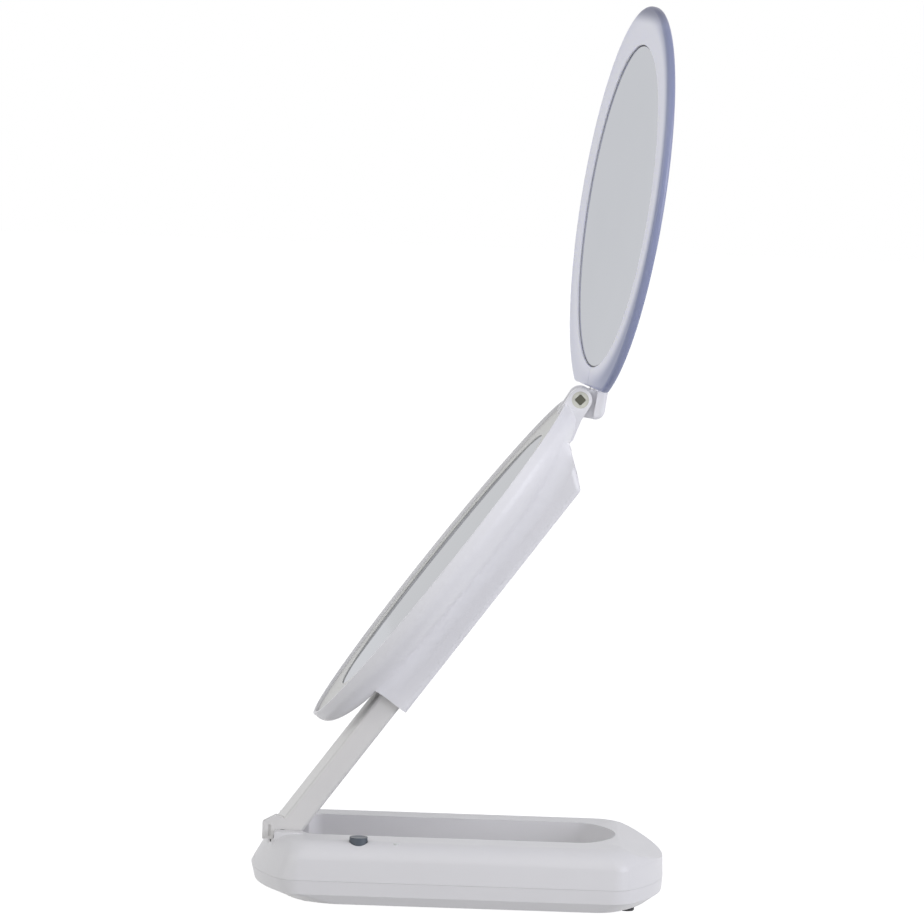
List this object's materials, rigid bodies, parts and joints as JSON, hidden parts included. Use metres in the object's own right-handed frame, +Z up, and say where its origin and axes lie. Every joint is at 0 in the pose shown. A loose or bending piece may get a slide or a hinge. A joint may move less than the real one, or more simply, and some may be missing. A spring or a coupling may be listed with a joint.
{
  "type": "lighted makeup mirror",
  "caption": "Folding vanity mirror on a battery base: hinged arm, sliding oval mirror, and a tilting, swivelling oval light panel with a mirror in its middle.",
  "frame": {"origin": "on the table, under the middle of the base", "axes": "+X from the hinge end to the free end of the base, +Y to the back, +Z up"},
  "size_m": [0.19, 0.126, 0.411],
  "materials": {
    "white_shell": "satin moulded",
    "white_inner": "moulded",
    "frosted_light": "frosted translucent",
    "silver_mirror": "polished",
    "dark_rubber": "matte",
    "screw_steel": "plain",
    "pin_steel": "plain",
    "bush_brass": "plain",
    "washer_grey": "moulded",
    "button_grey": "satin",
    "lens_clear": "clear",
    "cell_jacket": "sleeved",
    "contact_nickel": "plated",
    "board_green": "coated",
    "switch_black": "moulded",
    "backing_sheet": "plain",
    "led_board_white": "coated",
    "led_yellow": "clear"
  },
  "bodies": {
    "base": {"base_upper_shell": "white_shell", "base_lower_shell": "white_shell", "base_feet": "dark_rubber", "base_screws": "screw_steel", "battery_cells": "cell_jacket", "battery_contacts": "contact_nickel", "switch_board": "board_green", "board_screws": "screw_steel", "tact_switch": "switch_black", "indicator_lens": "lens_clear", "hinge_pin": "pin_steel", "hinge_washers": "washer_grey"},
    "button": {"power_button": "button_grey"},
    "door_near": {"battery_door_near": "white_shell"},
    "door_far": {"battery_door_far": "white_shell"},
    "arm": {"arm_channel": "white_shell", "arm_back_cover": "white_shell", "arm_cover_screws": "screw_steel", "slide_pads": "washer_grey"},
    "lower_panel": {"lower_bowl": "white_shell", "sleeve": "white_shell", "sleeve_end_plug": "white_shell", "sleeve_screws": "screw_steel", "lower_bezel": "white_shell", "lower_mirror": "silver_mirror", "lower_mirror_tray": "white_inner", "tilt_axle": "pin_steel", "tilt_washers": "washer_grey"},
    "neck": {"neck_block": "white_shell", "swivel_bush": "bush_brass"},
    "light_panel": {"ring_front_cover": "frosted_light", "ring_rear_cover": "frosted_light", "upper_mirror": "silver_mirror", "mirror_backing_plate": "backing_sheet", "led_board": "led_board_white", "leds": "led_yellow", "swivel_shaft": "pin_steel", "swivel_clip": "pin_steel", "ring_screws": "screw_steel"}
  },
  "joints": [
    {"name": "arm_hinge", "type": "hinge", "parent": "base", "child": "arm", "pos_m": [-0.0802, 0, 0.027], "axis": [0, -1, 0], "range_deg": [-48.9, 0]},
    {"name": "panel_slide", "type": "slide", "parent": "arm", "child": "lower_panel", "axis": [0.5892, 0, 0.808], "range_m": [-0.06, 0]},
    {"name": "panel_tilt", "type": "hinge", "parent": "lower_panel", "child": "neck", "pos_m": [0.04897, 0, 0.2312], "axis": [0, 1, 0], "range_deg": [-90, 28.75]},
    {"name": "ring_swivel", "type": "hinge", "parent": "neck", "child": "light_panel", "pos_m": [0.05482, 0, 0.23045], "axis": [0.1279, 0, 0.9918], "range_deg": [-14.8, 165.2]},
    {"name": "button_press", "type": "slide", "parent": "base", "child": "button", "axis": [0, 0, -1], "range_m": [0, 0.0015], "stiffness_N_per_m": 600, "springref_m": -0.0006},
    {"name": "door_near_slide", "type": "slide", "parent": "base", "child": "door_near", "axis": [-1, 0, 0], "range_m": [0, 0.008]},
    {"name": "door_far_slide", "type": "slide", "parent": "base", "child": "door_far", "axis": [-1, 0, 0], "range_m": [0, 0.008]}
  ]
}
